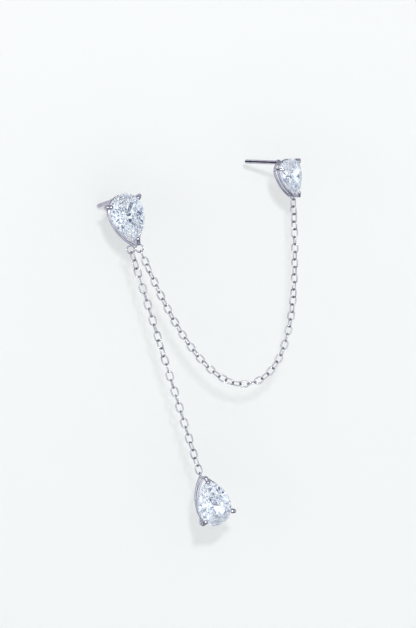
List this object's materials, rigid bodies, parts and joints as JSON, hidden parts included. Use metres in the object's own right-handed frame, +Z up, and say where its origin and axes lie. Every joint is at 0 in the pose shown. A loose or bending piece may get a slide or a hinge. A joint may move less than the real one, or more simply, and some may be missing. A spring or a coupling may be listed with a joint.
{
  "type": "stainless steel chain earring for two piercings",
  "caption": "Earring of two pear stones on straight posts, joined by a hanging cable chain, with a pear stone drop on a second chain.",
  "frame": {"origin": "root of the larger stud's ear post, where it is pinned on", "axes": "+Z up, along the hanging drop; +X from the larger stud to the smaller; the stones face -Y"},
  "size_m": [0.0418, 0.0178, 0.0712],
  "materials": {
    "steel": "polished",
    "stone": "clear, facet cut"
  },
  "bodies": {
    "studs_and_chains": {"stud_1_setting": "steel", "stud_1_stone": "stone", "stud_2_setting": "steel", "stud_2_stone": "stone", "swag_chain": "steel", "drop_chain": "steel"},
    "drop": {"drop_setting": "steel", "drop_stone": "stone"}
  },
  "joints": [
    {"name": "drop_swing", "type": "hinge", "parent": "studs_and_chains", "child": "drop", "pos_m": [0.00059, -0.00298, -0.05877], "axis": [0.3412, -0.9374, 0.0698], "range_deg": [-60, 60]}
  ]
}
